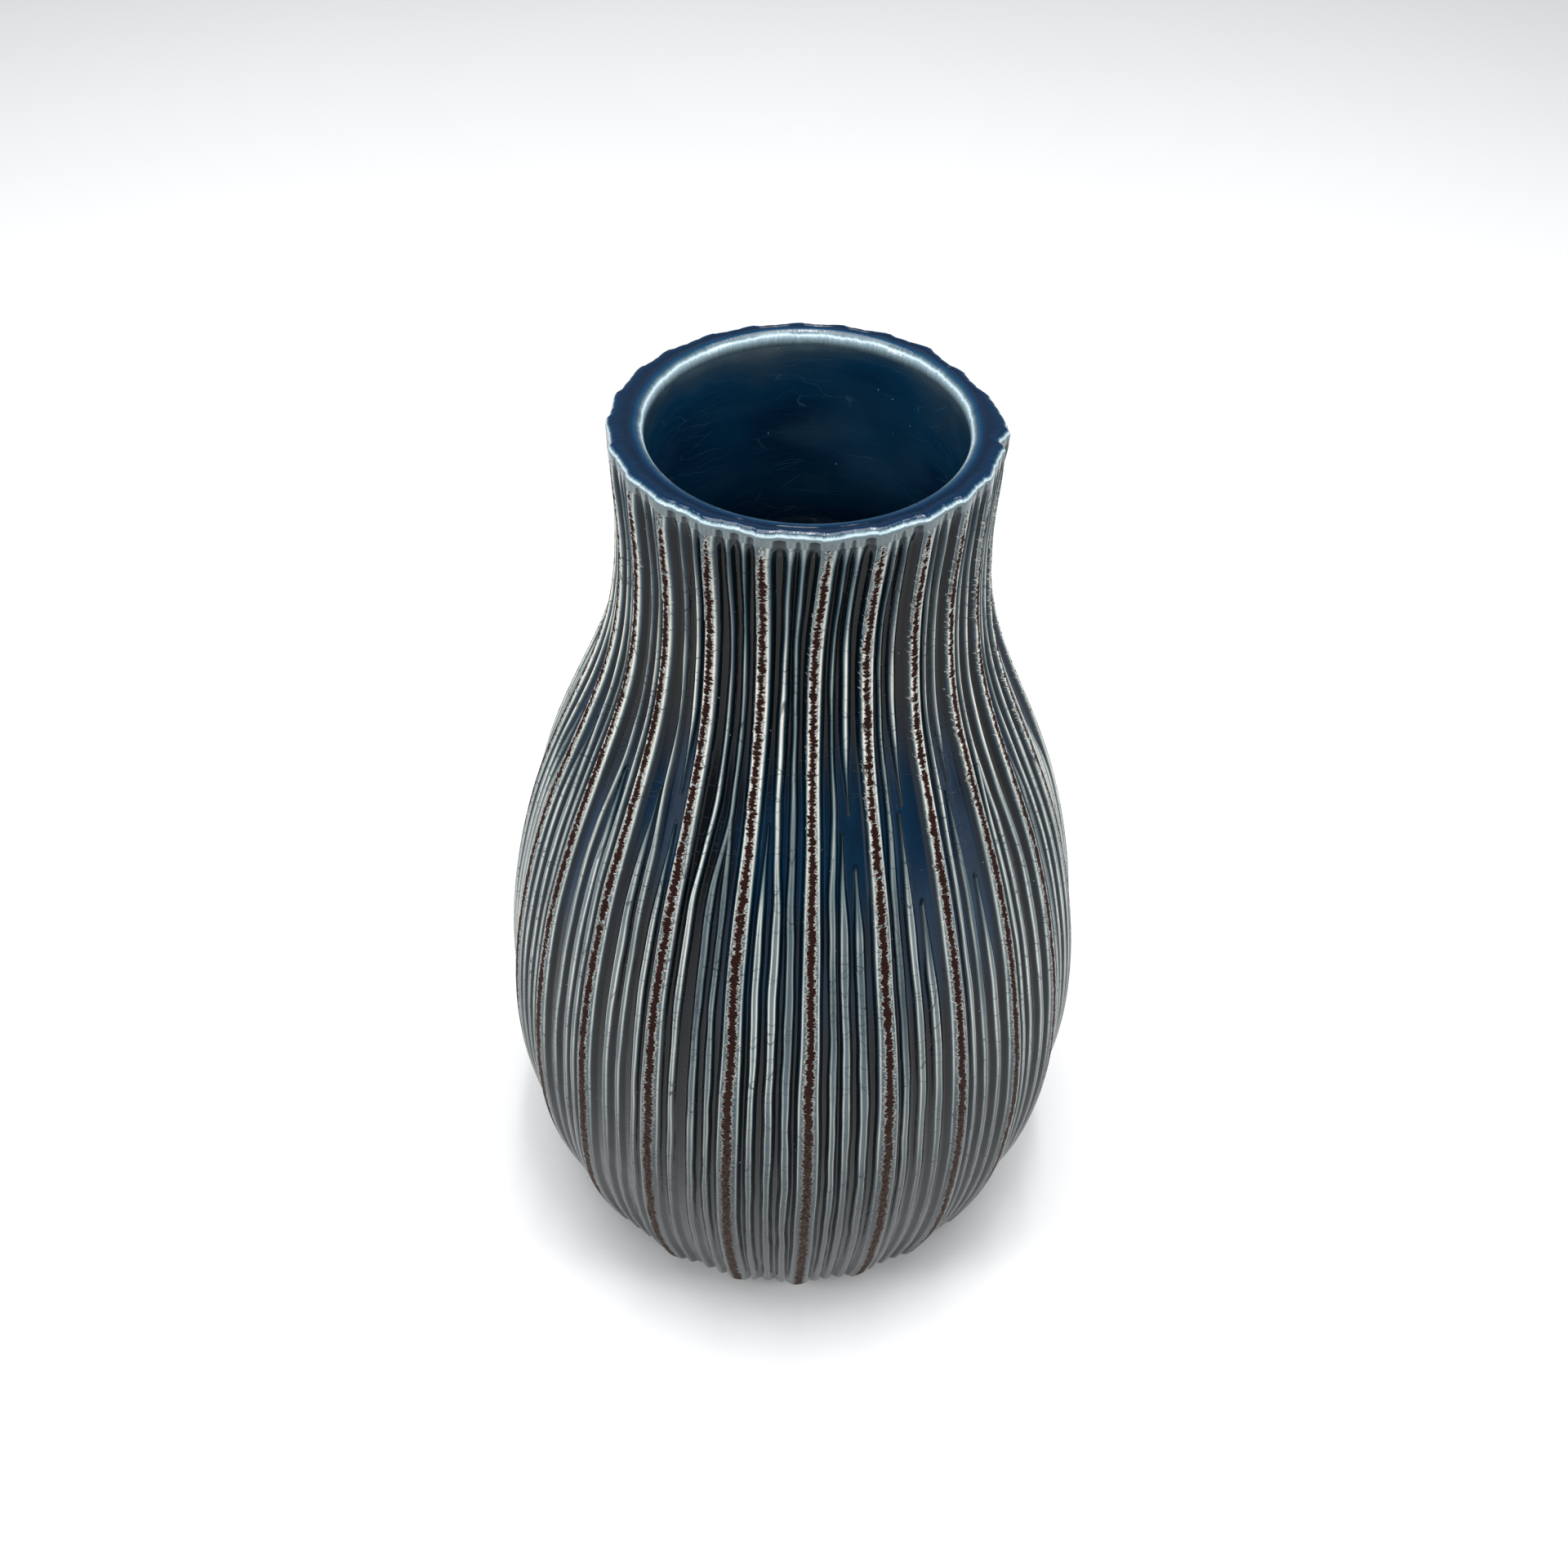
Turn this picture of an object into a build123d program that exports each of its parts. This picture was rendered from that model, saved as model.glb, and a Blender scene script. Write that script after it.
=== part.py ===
"""Fluted ceramic bud vase: a brown stoneware body under coats of blue glaze.

Millimetres, +Z up. The origin is the centre of the foot, on the plane that the vase stands on, and -Y is
the front. Twenty-four bare clay crests run from the lip to the foot. Between each two of them lies a field
of flutes, which one panel of glaze covers. Two further coats cover the lip and the inside.
"""

import os
from math import cos, pi, radians, sin

from build123d import *

# Whole vase
height = 178.0
crest_outline = (  # radius and height of the line that the crests follow, from foot to lip
    (46.1, 0.0),
    (51.9, 17.8),
    (55.9, 53.4),
    (51.0, 89.0),
    (45.9, 106.8),
    (38.6, 124.6),
    (31.9, 142.4),
    (29.5, 160.2),
    (29.0, height),
)

# Wall, floor and foot
wall = 5.0
floor_height = 7.0
floor_corner_radius = 10.0
foot_recess_radius = 36.0
foot_recess_depth = 2.0

base_tuck, base_tuck_height = 3.0, 5.0  # how far, and from what height, the outline turns in to the foot

# Lip
lip_width = 4.75
lip_outer_round = 1.2
lip_inner_round = 1.7
foot_edge_round = 0.8
lip_seam = height - 2.4  # height where the lip's coat meets the coats outside and inside

# Crests and flutes
panel_count = 24
panel_angle = 360 / panel_count
front_crest_angle = 4.1  # from the front, towards +X
crest_width = 1.7
field_sag = 0.75  # how far the middle of a field lies inside the crest line
lip_sag = 1.05
groove_depth = 1.2
neck_grooves = 3
body_grooves = 4
fork_low, fork_high = 84.0, 116.0  # the shoulder, over which the fourth groove starts
run_out = 7.0  # the grooves grow shallower over this height, up to the lip's seam

# Glaze
coat = 0.4  # on the lip and inside
panel_edge = 0.25  # thickness of a panel along the two crests that it lies between
thin_glaze = 0.3  # over the small ribs
pooled_glaze = 0.7  # in the grooves
seam_gap = 0.02  # keeps the faces of neighbouring solids apart
dry_foot = 1.2  # clay left bare above the foot

# Spacing of the lofted sections, closer where the outline or the flutes change faster
section_heights = (0, 1.5, 3, 5, 10, 24, 42, 60, 78, 90, 102, 114, 126, 138, 150, 160, 168, 172, lip_seam)
points_across = 13  # over one field, three to each of the body's grooves
across_shares = [index / (points_across - 1) for index in range(points_across)]
edge_share = 0.125  # the glaze reaches its full thickness over this share of a field

crest_line = Spline(*[(radius, 0, z) for radius, z in crest_outline])


def crest_radius(z):
    """Radius of a crest at height z, found by halving a stretch of the line, less the turn in to the foot."""
    low, high = 0.0, 1.0
    for _ in range(40):
        middle = (low + high) / 2
        if crest_line.position_at(middle).Z < z:
            low = middle
        else:
            high = middle
    tuck = base_tuck * max(0.0, 1 - z / base_tuck_height) ** 2
    return crest_line.position_at(low).X - tuck


def smooth_step(start, end, value):
    """0 below start, 1 above end, and an S-curve between them."""
    share = min(max((value - start) / (end - start), 0.0), 1.0)
    return share * share * (3 - 2 * share)


def groove_share(across, z):
    """0 on the ribs and 1 in the grooves, where across runs from 0 to 1 over a field."""
    neck = 0.5 - 0.5 * cos(2 * pi * neck_grooves * across)
    body = 0.5 - 0.5 * cos(2 * pi * body_grooves * across)
    fork = smooth_step(fork_low, fork_high, z)
    depth = 1 - smooth_step(lip_seam - run_out, lip_seam, z)
    return depth * (fork * neck + (1 - fork) * body)


def glaze_inset(across, z):
    """How far the surface of the glaze lies inside the crest line. It meets it at the field's edges."""
    lip_share = smooth_step(fork_high, lip_seam, z)
    sag = lip_share * lip_sag + (1 - lip_share) * field_sag
    return sag * sin(pi * across) ** 0.7 + groove_depth * groove_share(across, z)


def clay_inset(across, z):
    """How far the clay under the glaze lies inside the crest line."""
    full_share = min(1.0, across / edge_share, (1 - across) / edge_share)
    full_thickness = thin_glaze + (pooled_glaze - thin_glaze) * groove_share(across, z)
    return glaze_inset(across, z) + panel_edge + (full_thickness - panel_edge) * full_share


def field_points(inset, z, growth=0.0):
    """Points over the first field, from the front crest to the next one, moved out by growth."""
    radius = crest_radius(z)
    middle = radians(front_crest_angle + panel_angle / 2 - 90)
    half_field = radians(panel_angle / 2) - crest_width / 2 / radius
    points = []
    for across in across_shares:
        angle = middle + (2 * across - 1) * half_field
        reach = radius - inset(across, z) + growth
        points.append(Vector(reach * cos(angle), reach * sin(angle), 0))
    return points


def fluted_points(inset, z, growth=0.0):
    """Points round a whole ring: each field in turn, with the crest's width before the next one."""
    first_field = field_points(inset, z, growth)
    ring = []
    for index in range(panel_count):
        ring += [point.rotate(Axis.Z, index * panel_angle) for point in first_field]
    return ring


def inside_points(coating):
    """Points down the inside from the lip's seam to the floor, that far in from the bare clay."""
    points = []
    for z in (lip_seam, 160.2, 142.4, 124.6, 106.8, 89.0, 53.4, 17.8, floor_height):
        lip_share = smooth_step(fork_high, lip_seam, z)
        thickness = lip_share * (lip_width - coat) + (1 - lip_share) * wall
        points.append((crest_radius(z) - thickness - coating, z))
    return points


# Clay body: the fluted outside, the tongue inside the lip's coat, the hollow and the foot's recess
clay_inside = inside_points(0)
with BuildPart() as clay_body:
    for z in section_heights:
        with BuildSketch(Plane.XY.offset(z)):
            with BuildLine():
                Polyline(*fluted_points(clay_inset, z), close=True)
            make_face()
    loft()
    with BuildSketch(Plane.XY.offset(lip_seam)):
        with BuildLine():
            Polyline(*fluted_points(glaze_inset, lip_seam, -coat), close=True)
        make_face()
    extrude(amount=height - coat - lip_seam)
    with BuildSketch(Plane.XZ) as clay_hollow:
        with BuildLine():
            Polyline((0, floor_height), (0, height), (clay_inside[0][0], height), clay_inside[0])
            Spline(*clay_inside)
            Line(clay_inside[-1], (0, floor_height))
        make_face()
        fillet(clay_hollow.vertices().group_by(Axis.Y)[0].sort_by(Axis.X)[-1], floor_corner_radius)
    revolve(axis=Axis.Z, mode=Mode.SUBTRACT)
    with BuildSketch():
        Circle(foot_recess_radius)
    extrude(amount=foot_recess_depth, mode=Mode.SUBTRACT)
    mouth_edge = clay_body.edges().filter_by(GeomType.CIRCLE).group_by(Axis.Z)[-1]
    fillet(mouth_edge, lip_inner_round - coat)
    foot_edge = clay_body.edges().filter_by(GeomType.CIRCLE).group_by(Axis.Z)[0]
    fillet(foot_edge, foot_edge_round)
clay_body.part.label = "clay_body"

# Coat over the inside, from the lip's seam down the wall and across the floor
glaze_inside = inside_points(coat)
with BuildPart() as inner_glaze:
    with BuildSketch(Plane.XZ) as coat_outside:
        with BuildLine():
            Polyline((0, floor_height), (0, lip_seam), clay_inside[0])
            Spline(*clay_inside)
            Line(clay_inside[-1], (0, floor_height))
        make_face()
        fillet(coat_outside.vertices().group_by(Axis.Y)[0].sort_by(Axis.X)[-1], floor_corner_radius)
    revolve(axis=Axis.Z)
    with BuildSketch(Plane.XZ) as coat_hollow:
        with BuildLine():
            Polyline((0, floor_height + coat), (0, lip_seam), glaze_inside[0])
            Spline(*glaze_inside)
            Line(glaze_inside[-1], (0, floor_height + coat))
        make_face()
        fillet(coat_hollow.vertices().group_by(Axis.Y)[0].sort_by(Axis.X)[-1], floor_corner_radius - coat)
    revolve(axis=Axis.Z, mode=Mode.SUBTRACT)
inner_glaze.part.label = "inner_glaze"

# Coat over the lip: scalloped outside like the fields below it, and rounded over both edges
with BuildPart() as lip_glaze:
    with BuildSketch(Plane.XY.offset(lip_seam)):
        with BuildLine():
            Polyline(*fluted_points(glaze_inset, lip_seam), close=True)
        make_face()
    extrude(amount=height - lip_seam)
    with BuildSketch(Plane.XZ) as lip_section:
        with Locations((glaze_inside[0][0], lip_seam)):
            Rectangle(
                crest_radius(lip_seam) - glaze_inside[0][0],
                height - lip_seam,
                align=(Align.MIN, Align.MIN),
            )
        top_corners = lip_section.vertices().group_by(Axis.Y)[-1].sort_by(Axis.X)
        fillet(top_corners[0], lip_inner_round)
        fillet(top_corners[-1], lip_outer_round)
    revolve(axis=Axis.Z, mode=Mode.INTERSECT)
    add(clay_body.part, mode=Mode.SUBTRACT)
lip_glaze.part.label = "lip_glaze"

# One panel of glaze over the field beside the front crest
with BuildPart() as first_panel:
    for z in section_heights:
        with BuildSketch(Plane.XY.offset(z)):
            with BuildLine():
                clay_side = field_points(clay_inset, z, seam_gap)
                glaze_side = field_points(glaze_inset, z)
                Polyline(*clay_side, *reversed(glaze_side), close=True)
            make_face()
    loft()
    split(bisect_by=Plane.XY.offset(dry_foot), keep=Keep.TOP)

os.makedirs("parts", exist_ok=True)
for piece in (clay_body, inner_glaze, lip_glaze):
    export_step(piece.part, f"parts/{piece.part.label}.step")

# The panels, counted from the front towards +X
for index in range(panel_count):
    with BuildPart() as glaze_panel:
        add(first_panel.part.rotate(Axis.Z, index * panel_angle))
    glaze_panel.part.label = f"glaze_panel_{index + 1:02d}"
    export_step(glaze_panel.part, f"parts/{glaze_panel.part.label}.step")
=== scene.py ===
"""Looks of a fluted ceramic bud vase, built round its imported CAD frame.

Lengths in the shape code are millimetres, as in the CAD, and turn into metres when a mesh is made. Angles
run round the vase from the front (-Y) towards +X. Every outside surface comes from one rule for the flutes,
so the glaze fields, the clay crests, the foot and the lip meet without a step.
"""
import math

import bpy
import numpy as np
from mathutils import Matrix, Vector


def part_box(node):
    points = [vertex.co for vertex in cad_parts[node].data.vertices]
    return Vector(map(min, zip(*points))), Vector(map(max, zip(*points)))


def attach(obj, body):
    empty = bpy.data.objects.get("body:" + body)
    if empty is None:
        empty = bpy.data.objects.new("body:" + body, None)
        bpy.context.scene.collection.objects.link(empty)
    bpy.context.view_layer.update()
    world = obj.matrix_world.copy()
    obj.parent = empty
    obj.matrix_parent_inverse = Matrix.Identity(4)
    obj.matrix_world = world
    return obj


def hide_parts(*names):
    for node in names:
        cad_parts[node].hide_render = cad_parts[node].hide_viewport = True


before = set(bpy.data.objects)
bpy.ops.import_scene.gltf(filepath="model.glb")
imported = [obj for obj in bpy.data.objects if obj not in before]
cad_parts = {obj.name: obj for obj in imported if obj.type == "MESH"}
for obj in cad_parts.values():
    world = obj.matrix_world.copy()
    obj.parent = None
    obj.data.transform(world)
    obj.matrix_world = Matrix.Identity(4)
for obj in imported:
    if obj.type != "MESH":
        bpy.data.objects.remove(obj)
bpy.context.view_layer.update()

# ---------------------------------------------------------------- sizes, in millimetres
MM = 0.001
COAT = 0.4  # the glaze on the lip and inside
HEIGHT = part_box("lip_glaze")[1][2] / MM
LIP_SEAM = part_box("lip_glaze")[0][2] / MM
DRY_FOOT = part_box("glaze_panel_01")[0][2] / MM
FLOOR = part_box("inner_glaze")[0][2] / MM + COAT
CREST_OUTLINE = np.array([  # radius and height, from foot to lip
    (46.1, 0.0), (51.9, 17.8), (55.9, 53.4), (51.0, 89.0), (45.9, 106.8),
    (38.6, 124.6), (31.9, 142.4), (29.5, 160.2), (29.0, 178.0),
])
BASE_TUCK, BASE_TUCK_HEIGHT = 3.0, 5.0  # how far, and from what height, the outline turns in to the foot
WALL, LIP_WIDTH = 5.0, 4.75
OUTER_ROUND, INNER_ROUND = 1.2, 1.7  # of the lip's two edges
LIP_DIP = 0.10  # of the lip's top between them
FLOOR_CORNER = 9.6
RECESS_RADIUS, RECESS_DEPTH, FOOT_ROUND = 36.0, 2.0, 0.8
FOOT_BEVEL = 0.9
RECESS_RISE = 0.25  # from the edge of the recess to its middle
AXIS_GAP = 0.02  # the last ring of points round the axis
NECK_START = 116.0
GROOVE_DEPTH = 1.05
CROWN = 0.06  # the rise of a rib's rounded top
SKIN_INSET = 0.06  # keeps the crowns inside the crest line
FIELD_SAG, LIP_SAG = 0.70, 0.42  # how far the middle of a field lies inside its crests
FOOT_SAG = 0.5
LIP_FLARE = 0.75
MOUTH_OVAL = 1.15
STRIP_HALF, STRIP_GROWTH = 0.85, 0.35  # half the width of a crest's mesh at the neck, and what the body adds
FORK_HEIGHTS = (128.5, 132)  # where a rib starts from another one, at its full width
POOL_WIDTH, POOL_HEIGHT = 2.6, 9.0  # reach of the deeper glaze round a rib's end
LEFT_LEAN = 4.0  # degrees that the crests at the left lean away from the front at the foot

# Cells of the grid: across a crest, across a field, and rows up the foot, the glaze and the lip's wall
COUNT = 24
STRIP_CELLS, FIELD_CELLS = 8, 68
CELLS = STRIP_CELLS + FIELD_CELLS
FOOT_ROWS, ROWS, LIP_WALL_ROWS = 4, 620, 5
INSIDE_ROWS, INSIDE_COLUMNS = 220, 360
WRAP_RADIUS = 45  # of the cylinder that patterns in the glaze are laid on

random = np.random.default_rng(24)


def smooth(low, high, value):
    """0 at low, 1 at high, and an S-curve between them."""
    share = np.clip((value - low) / (high - low), 0, 1)
    return share * share * (3 - 2 * share)


def spline_curve(points, samples=2400):
    """Natural cubic spline through the points, by length along them."""
    t = np.r_[0, np.cumsum(np.hypot(*np.diff(points, axis=0).T))]
    step = np.diff(t)
    size = len(t)
    matrix = np.eye(size)
    right = np.zeros((size, 2))
    for i in range(1, size - 1):
        matrix[i, i - 1:i + 2] = step[i - 1], 2 * (step[i - 1] + step[i]), step[i]
        right[i] = 6 * ((points[i + 1] - points[i]) / step[i] - (points[i] - points[i - 1]) / step[i - 1])
    bend = np.linalg.solve(matrix, right)
    q = np.linspace(0, t[-1], samples)
    k = np.clip(np.searchsorted(t, q) - 1, 0, size - 2)
    d, h = (q - t[k])[:, None], step[k][:, None]
    slope = (points[k + 1] - points[k]) / h - h * (2 * bend[k] + bend[k + 1]) / 6
    return points[k] + d * slope + d ** 2 * bend[k] / 2 + d ** 3 * (bend[k + 1] - bend[k]) / (6 * h)


crest_curve = spline_curve(CREST_OUTLINE)


def crest_radius(z):
    """Radius of the line that the crests follow, less the turn in to the foot."""
    tuck = BASE_TUCK * np.clip(1 - z / BASE_TUCK_HEIGHT, 0, 1) ** 2
    return np.interp(z, crest_curve[:, 1], crest_curve[:, 0]) - tuck


def inside_radius(z):
    """Radius of the glazed inside wall."""
    share = smooth(NECK_START, LIP_SEAM, z)
    thickness = share * (LIP_WIDTH - COAT) + (1 - share) * WALL
    return np.interp(z, crest_curve[:, 1], crest_curve[:, 0]) - thickness - COAT


def oval(angle, z):
    """The mouth is a little wider from front to back than across."""
    return MOUTH_OVAL * np.cos(angle) ** 2 * smooth(112, 172, z)


def wander(z, size, waves=(62.0, 34.0, 19.0)):
    """A slow sideways drift along the height, different at each call and at most about as wide as size."""
    drift = sum(
        random.uniform(0.4, 1.0) * np.sin(2 * math.pi * z / wave + random.uniform(0, 6.3)) / (k + 1)
        for k, wave in enumerate(waves)
    )
    return size * drift / 1.2


# ---------------------------------------------------------------- where the ribs run
# Angle of each crest on the body and at the lip, from the front one towards +X
CREST_BODY = np.array([
    4.1, 19.1, 34.4, 49.0, 64.4, 79.6, 94.3, 109.0, 124.0, 139.2, 154.3, 169.0,
    184.2, 199.0, 214.1, 229.0, 243.9, 258.8, 273.4, 288.0, 302.4, 317.6, 333.5, 349.2,
])
CREST_LIP = np.array([
    7.0, 22.3, 36.5, 50.5, 63.8, 79.5, 92.5, 108.0, 122.5, 140.0, 155.0, 170.5,
    184.0, 200.0, 214.0, 231.0, 243.5, 259.5, 273.0, 287.5, 303.0, 316.8, 332.7, 349.0,
])
# Small ribs of a field: (height, share of the way across) from the rib's top end to its bottom end
FIELD_STYLES = {
    "bridge": [
        [(178, 0.45), (130, 0.48), (118, 0.37), (0, 0.33)],
        [(126.5, 0.53), (117, 0.58), (0, 0.57)],
        [(178, 0.74), (130, 0.74), (0, 0.78)],
    ],
    "left": [
        [(127.5, 0.34), (118, 0.33), (0, 0.32)],
        [(178, 0.43), (130, 0.46), (119, 0.53), (0, 0.54)],
        [(178, 0.71), (129, 0.73)],
        [(123.5, 0.75), (0, 0.76)],
    ],
    "fork": [
        [(178, 0.37), (160, 0.43), (130, 0.41), (114, 0.28), (0, 0.28)],
        [(178, 0.66), (128.5, 0.66), (117, 0.52), (0, 0.52)],
        [(128.5, 0.66), (117, 0.71), (0, 0.74)],
    ],
    "rise": [
        [(127.4, 0.27), (0, 0.27)],
        [(178, 0.42), (130, 0.40), (115, 0.48), (0, 0.48)],
        [(178, 0.63), (130, 0.68), (110, 0.71), (0, 0.72)],
    ],
    "pool": [
        [(178, 0.33), (130, 0.36), (118, 0.29), (0, 0.28)],
        [(178, 0.57), (129.5, 0.63)],
        [(126, 0.50), (117, 0.47), (0, 0.48)],
        [(120, 0.68), (0, 0.70)],
    ],
    "deep": [
        [(178, 0.30), (130, 0.31), (116, 0.25), (0, 0.24)],
        [(178, 0.55), (129, 0.57)],
        [(127, 0.50), (116, 0.47), (0, 0.47)],
        [(111, 0.69), (0, 0.71)],
    ],
    "split": [
        [(178, 0.31), (132, 0.30), (119, 0.22), (0, 0.23)],
        [(132, 0.30), (119, 0.40), (0, 0.42)],
        [(178, 0.61), (130, 0.61), (110, 0.68), (0, 0.71)],
    ],
}
FIELDS = [
    "pool", "deep", "deep", "split", "rise", "pool", "fork", "left", "rise", "deep", "split", "bridge",
    "pool", "left", "fork", "rise", "deep", "split", "pool", "rise", "bridge", "left", "fork", "rise",
]


def crest_angles(z):
    """Angle of the 24 crests at each height, and the first one again a turn later."""
    lean = smooth(150, 181, z) ** 1.4
    rows = []
    for body, lip in zip(CREST_BODY, CREST_LIP):
        rows.append(body + (lip - body) * lean + wander(z, 0.16))
    left = np.array([smooth(288, 312, angle) * (1 - smooth(318, 345, angle)) for angle in CREST_BODY])
    rows = np.array(rows) - left[:, None] * LEFT_LEAN * smooth(60, 0, z)
    return np.radians(np.vstack([rows, rows[:1] + 360]))


def rib_half_width(z):
    """Half the width of a small rib."""
    body = smooth(136, 104, z)
    return 0.40 + 0.26 * body


def crest_half_width(z):
    """Half the width of a crest's rib, and how far that rib lies to the side of the bare strip."""
    body = smooth(134, 100, z)
    return 1.14 + 0.40 * body + 0.46 * smooth(104, 62, z), 0.16 * (1 - body)


def field_edges(index, s, z, width):
    """Three values at each point of a field.

    They are the distance from the nearest rib's edge, which is under 0 on a rib, how near the end of a rib
    is, from 0 to 1, and how faint the nearest rib is, from 0 to 1.
    """
    half, shift = crest_half_width(z)
    edge = np.minimum(np.abs(s - shift) - half, np.abs(s - width - shift) - half)
    pool = np.zeros_like(s)
    faint = np.zeros_like(s)
    centres = []
    for knots in FIELD_STYLES[FIELDS[index]]:
        heights = np.array([k[0] for k in knots], float)[::-1]
        shares = np.array([k[1] for k in knots], float)[::-1] + random.normal(0, 0.008)
        top, bottom = heights[-1] + random.normal(0, 0.5), heights[0]
        # The rib's path, with its corners smoothed
        path = np.interp(z, heights, shares)
        kernel = np.hanning(25)
        padded = np.pad(path[:, 0], 12, mode="edge")
        path = np.convolve(padded, kernel / kernel.sum(), "valid")[:, None]
        centre = path * width + wander(z, 0.10, (41.0, 23.0, 11.0))
        half_rib = rib_half_width(z) * random.uniform(0.82, 1.18) + wander(z, 0.06, (37.0, 17.0, 9.0))
        dim = random.uniform(0.0, 0.8) ** 2.5 * smooth(62, 104, z) * smooth(176, 160, z)
        dim = np.clip(dim + wander(z, 0.13, (71.0, 39.0, 21.0)) * smooth(62, 100, z), 0, 1) + 0 * s
        distance = np.abs(s - centre)
        # Where a rib ends on the shoulder: its strength, the height above the pool, and the way past its end
        tips = []
        if 100 < top < 140 and heights[-1] not in FORK_HEIGHTS:
            tips.append((smooth(-1.0, 17.0, top - z), z - top + 3, z - top))
        if bottom > 100:
            tips.append((smooth(-1.0, 15.0, z - bottom), z - bottom - 2, bottom - z))
        for full, rise, past in tips:
            pool = np.maximum(pool, np.exp(-(distance / POOL_WIDTH) ** 2 - (rise / POOL_HEIGHT) ** 2))
            half_rib = half_rib * (0.5 + 0.5 * full)
            dim = np.maximum(dim, 1 - full)
            distance = np.hypot(distance, 0.5 * np.clip(past, 0, None))
        faint = np.where(distance - half_rib < edge, dim, faint)
        edge = np.minimum(edge, distance - half_rib)
        if top > 170:
            centres.append((centre, half_rib))
    # Pointed ends of the grooves under the lip
    centres.sort(key=lambda pair: float(pair[0][-1, 0]))
    starts = [shift + half] + [c + h for c, h in centres]
    ends = [c - h for c, h in centres] + [width + shift - half]
    grooves = np.full_like(s, -9.0)  # millimetres, well inside a rib
    for start, end in zip(starts, ends):
        gap = (end - start) / 2
        groove_top = HEIGHT - 0.8 + random.uniform(-0.8, 0.4)
        narrow = 0.32 * smooth(groove_top - 5.0, groove_top, z) + 0.5 * np.clip(z - groove_top, 0, None)
        grooves = np.maximum(grooves, gap - np.abs(s - (start + end) / 2) - narrow)
    edge = np.where(z > 160, np.minimum(edge, grooves), edge)
    return edge, pool, faint


def lip_offset(angle, z):
    """How far the lip strays from round: flatter at the right and back, with one crest proud by a nick."""
    degrees = np.degrees(angle) % 360
    top = smooth(150, 178, z)
    flat = smooth(98, 112, degrees) * smooth(140, 128, degrees)
    proud = np.exp(-((degrees - 87.5) / 2.6) ** 2) * smooth(164, 176, z)
    nick = np.exp(-((degrees - 81.5) / 2.0) ** 2) * smooth(172.5, 176.5, z)
    left = np.clip(-np.sin(angle), 0, 1) ** 2
    back = np.clip(-np.cos(angle), 0, 1) ** 2
    return top * (0.3 * left - 0.4 * back - 1.0 * flat) + 0.8 * proud - 0.8 * nick


z_rows = np.concatenate([
    np.linspace(0, DRY_FOOT, FOOT_ROWS + 1)[:-1],
    DRY_FOOT + (LIP_SEAM - DRY_FOOT) * np.linspace(0, 1, ROWS),
    LIP_SEAM + np.linspace(0, HEIGHT - OUTER_ROUND - LIP_SEAM, LIP_WALL_ROWS + 1)[1:],
])
angles = crest_angles(z_rows)
rows = len(z_rows)
columns = COUNT * CELLS
z_grid = np.repeat(z_rows[:, None], columns, axis=1)
angle_grid, edge_grid, pool_grid, faint_grid, side_grid, share_grid = np.zeros((6, rows, columns))
strip_half = (STRIP_HALF + STRIP_GROWTH * smooth(134, 100, z_rows))[:, None]
z = z_rows[:, None]
radius = crest_radius(z)
for index in range(COUNT):
    width = (angles[index + 1] - angles[index])[:, None] * radius
    strip = strip_half * np.linspace(-1, 1, STRIP_CELLS + 1)[None, :-1]
    field = strip_half + (width - 2 * strip_half) * np.linspace(0, 1, FIELD_CELLS + 1)[None, :-1]
    s = np.concatenate([strip, field], axis=1)
    edge, pool, faint = field_edges(index, s, z, width)
    block = slice(index * CELLS, (index + 1) * CELLS)
    angle_grid[:, block] = angles[index][:, None] + s / radius
    edge_grid[:, block] = edge
    pool_grid[:, block] = pool
    faint_grid[:, block] = faint
    side_grid[:, block] = np.where(s < width / 2, s, s - width)
    share_grid[:, block] = np.clip(s / width, 0, 1)
crest_number = np.floor(np.arange(columns) / CELLS)[None, :] + (share_grid > 0.5)

relief = GROOVE_DEPTH * smooth(-0.45, 0.70, edge_grid + 0.5 * faint_grid)
relief = relief * (0.5 + 0.5 * smooth(0, 14, z_grid))
relief *= 1 - 0.85 * smooth(173.0, 176.8, z_grid)
crown = CROWN * smooth(-0.1, -0.8, edge_grid) * smooth(176, 170, z_grid)
lip_share = smooth(NECK_START, LIP_SEAM, z_grid)
sag = (lip_share * LIP_SAG + (1 - lip_share) * FIELD_SAG) * np.sin(math.pi * share_grid) ** 1.2
flare = LIP_FLARE * smooth(160, HEIGHT, z_grid)
radius_grid = crest_radius(z_grid) - sag - relief + crown + flare - SKIN_INSET
radius_grid = radius_grid + lip_offset(angle_grid, z_grid)
radius_grid -= FOOT_SAG * smooth(BASE_TUCK_HEIGHT, 0, z_grid) * np.sin(math.pi * share_grid)


def cylinder(radius, angle, z):
    """Points from their radius, angle and height."""
    return np.stack([radius * np.sin(angle), -radius * np.cos(angle), z + 0 * radius], axis=-1)


outside = cylinder(radius_grid, angle_grid, z_grid)

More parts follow.
